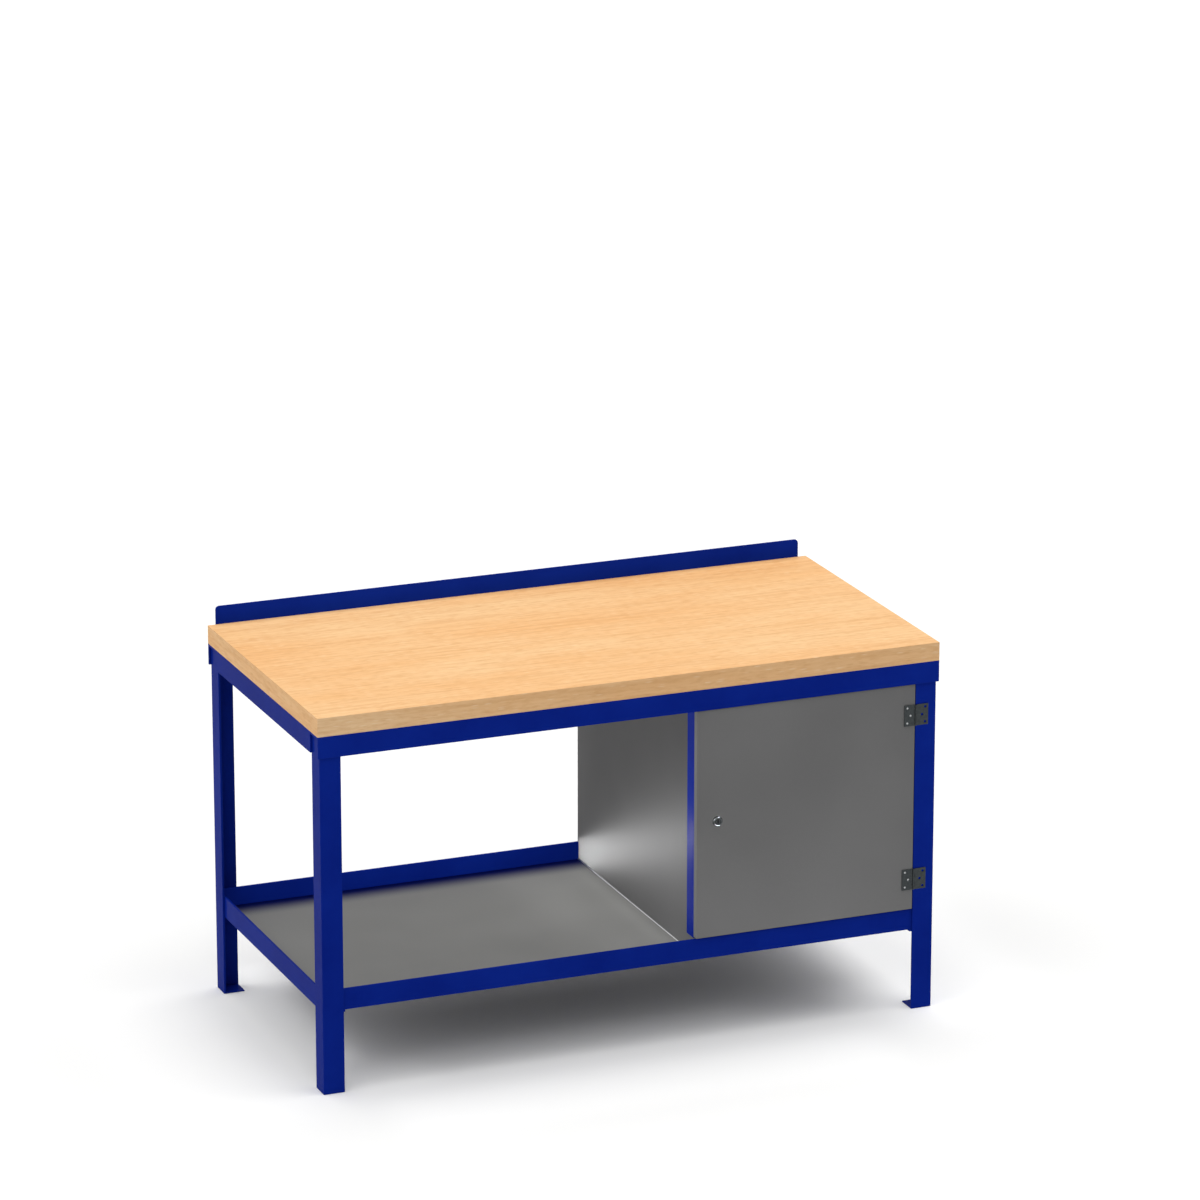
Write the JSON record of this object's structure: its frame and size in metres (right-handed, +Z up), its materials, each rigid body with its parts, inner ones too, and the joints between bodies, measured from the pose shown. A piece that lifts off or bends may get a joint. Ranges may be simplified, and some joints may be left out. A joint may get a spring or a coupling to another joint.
{
  "type": "workbench",
  "caption": "Workshop bench with a thick wooden top on an angle-iron frame, an open lower shelf, a low rear upstand and a lockable cupboard with a hinged door.",
  "frame": {"origin": "on the floor under the middle of the whole bench, feet at z = 0", "axes": "+X to the right along the front, +Y from the door side to the rear, +Z up"},
  "size_m": [1.5, 0.754, 0.926],
  "materials": {
    "worktop_wood": "pale beech, matt lacquer",
    "blue_paint": "dark blue gloss enamel",
    "grey_steel": "grey metallic, satin",
    "hinge_steel": "dark steel, satin",
    "rivet_metal": "bright, slightly worn",
    "lock_chrome": "polished",
    "lock_plug_steel": "turned, satin",
    "zinc_steel": "zinc plated"
  },
  "bodies": {
    "frame": {"worktop": "worktop_wood", "leg_front_left": "blue_paint", "foot_plate_front_left": "blue_paint", "leg_front_right": "blue_paint", "foot_plate_front_right": "blue_paint", "leg_rear_right": "blue_paint", "foot_plate_rear_right": "blue_paint", "leg_rear_left": "blue_paint", "foot_plate_rear_left": "blue_paint", "top_rail_front": "blue_paint", "shelf_rail_front": "blue_paint", "top_rail_rear": "blue_paint", "shelf_rail_rear": "blue_paint", "top_rail_left": "blue_paint", "shelf_rail_left": "blue_paint", "top_rail_right": "blue_paint", "shelf_rail_right": "blue_paint", "lower_shelf": "grey_steel", "rear_upstand": "blue_paint", "door_post": "blue_paint", "cupboard_side_left": "grey_steel", "cupboard_side_right": "grey_steel", "cupboard_back": "grey_steel", "hinge_upper_leg_leaf": "hinge_steel", "hinge_upper_pin": "hinge_steel", "hinge_lower_leg_leaf": "hinge_steel", "hinge_lower_pin": "hinge_steel", "worktop_screw_1": "zinc_steel", "worktop_screw_2": "zinc_steel", "worktop_screw_3": "zinc_steel", "worktop_screw_4": "zinc_steel", "worktop_screw_5": "zinc_steel", "worktop_screw_6": "zinc_steel", "worktop_screw_7": "zinc_steel", "worktop_screw_8": "zinc_steel", "upstand_screw_1": "zinc_steel", "upstand_screw_2": "zinc_steel", "upstand_screw_3": "zinc_steel", "upstand_screw_4": "zinc_steel"},
    "door": {"door_pan": "grey_steel", "lock_barrel": "lock_chrome", "lock_nut": "zinc_steel", "hinge_upper_door_leaf": "hinge_steel", "hinge_upper_rivet_1": "rivet_metal", "hinge_upper_rivet_2": "rivet_metal", "hinge_upper_rivet_3": "rivet_metal", "hinge_lower_door_leaf": "hinge_steel", "hinge_lower_rivet_1": "rivet_metal", "hinge_lower_rivet_2": "rivet_metal", "hinge_lower_rivet_3": "rivet_metal"},
    "lock": {"lock_plug": "lock_plug_steel", "lock_cam": "zinc_steel", "lock_cam_screw": "zinc_steel"}
  },
  "joints": [
    {"name": "door_hinge", "type": "hinge", "parent": "frame", "child": "door", "pos_m": [0.6945, -0.3745, 0.517], "axis": [0, 0, 1], "range_deg": [0, 165]},
    {"name": "lock_turn", "type": "hinge", "parent": "door", "child": "lock", "pos_m": [0.205, -0.372, 0.522], "axis": [0, 1, 0], "range_deg": [0, 90]}
  ]
}
